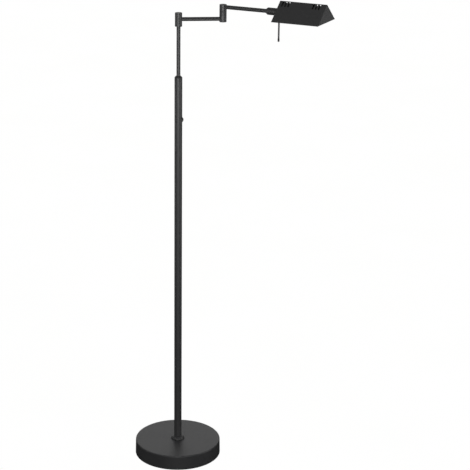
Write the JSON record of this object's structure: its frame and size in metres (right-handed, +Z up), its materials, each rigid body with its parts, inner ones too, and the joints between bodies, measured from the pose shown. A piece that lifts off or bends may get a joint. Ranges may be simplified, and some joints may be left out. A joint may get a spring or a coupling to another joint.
{
  "type": "pharmacy floor lamp",
  "caption": "Pharmacy floor lamp: weighted round base, sliding pole, two swinging arms and a slotted tent shade that tilts over the work.",
  "frame": {"origin": "centre of the foot pad's underside, on the floor", "axes": "+Z up the pole, +X along the upper arm towards the head at rest"},
  "size_m": [0.5396, 0.254, 1.3788],
  "materials": {
    "black_coat": "satin black powder coat",
    "black_plastic": "moulded, fine matte",
    "black_rubber": "matte rubber",
    "foam_pad": "closed-cell foam",
    "iron_casting": "as cast",
    "zinc_steel": "zinc plated",
    "brass": "turned",
    "nylon": "black nylon",
    "reflector_aluminium": "satin white-silver",
    "white_ceramic": "white glaze",
    "lamp_glass": "frosted glass",
    "lead_jacket": "soft PVC"
  },
  "bodies": {
    "stand": {"base_pad": "foam_pad", "base_plate": "zinc_steel", "base_screws": "zinc_steel", "base_weight": "iron_casting", "base_cover": "black_coat", "cord_inlet": "black_rubber", "base_collar": "black_coat", "pole_stud": "zinc_steel", "stud_washer": "zinc_steel", "stud_nut": "zinc_steel", "pole_foot_insert": "brass", "pole_lower": "black_coat", "pole_middle": "black_coat", "pole_upper": "black_coat", "pole_couplers": "brass", "pole_collar": "black_coat", "friction_sleeve": "nylon", "switch_bezel": "black_plastic", "switch_body": "black_plastic", "pole_lead": "lead_jacket"},
    "button": {"switch_button": "black_plastic"},
    "mast": {"mast_tube": "black_coat", "mast_guide": "nylon", "mast_spindle": "zinc_steel", "mast_spindle_washer": "zinc_steel", "mast_spindle_nut": "zinc_steel", "mast_lead": "lead_jacket"},
    "lower_arm": {"lower_knuckle": "black_coat", "lower_knuckle_cap": "black_coat", "lower_arm_tube": "black_coat", "elbow_barrel": "black_coat", "elbow_barrel_cap": "black_coat", "lower_arm_lead": "lead_jacket"},
    "upper_arm": {"elbow_knuckle": "black_coat", "elbow_knuckle_cap": "black_coat", "elbow_thrust_washer": "nylon", "elbow_spindle": "zinc_steel", "elbow_spindle_washer": "zinc_steel", "elbow_spindle_nut": "zinc_steel", "upper_arm_tube": "black_coat", "swivel_spigot": "zinc_steel", "swivel_washer": "zinc_steel", "swivel_nut": "zinc_steel", "upper_arm_lead": "lead_jacket"},
    "head": {"swivel_socket": "black_coat", "head_nipple": "zinc_steel", "nipple_nut": "zinc_steel", "shade": "black_coat", "shade_end_inner": "black_coat", "shade_end_outer": "black_coat", "reflector": "reflector_aluminium", "holder_bracket": "zinc_steel", "lamp_holder": "white_ceramic", "holder_screws": "zinc_steel", "bulb_cap": "white_ceramic", "bulb": "lamp_glass", "tilt_rod": "black_coat", "rod_tip": "black_rubber", "head_lead": "lead_jacket"}
  },
  "joints": [
    {"name": "button_press", "type": "slide", "parent": "stand", "child": "button", "axis": [-0.9063, -0.4226, 0], "range_m": [0, 0.0008], "stiffness_N_per_m": 900, "springref_m": -0.0008},
    {"name": "mast_slide", "type": "slide", "parent": "stand", "child": "mast", "axis": [0, 0, 1], "range_m": [-0.138, 0.06]},
    {"name": "lower_swivel", "type": "hinge", "parent": "mast", "child": "lower_arm", "pos_m": [0, 0, 1.3145], "axis": [0, 0, 1], "range_deg": [-170, 170]},
    {"name": "elbow_swivel", "type": "hinge", "parent": "lower_arm", "child": "upper_arm", "pos_m": [0.10499, 0.06408, 1.336], "axis": [0, 0, 1], "range_deg": [-170, 170]},
    {"name": "head_tilt", "type": "hinge", "parent": "upper_arm", "child": "head", "pos_m": [0.25499, 0.06408, 1.3475], "axis": [1, 0, 0], "range_deg": [-110, 110]}
  ]
}
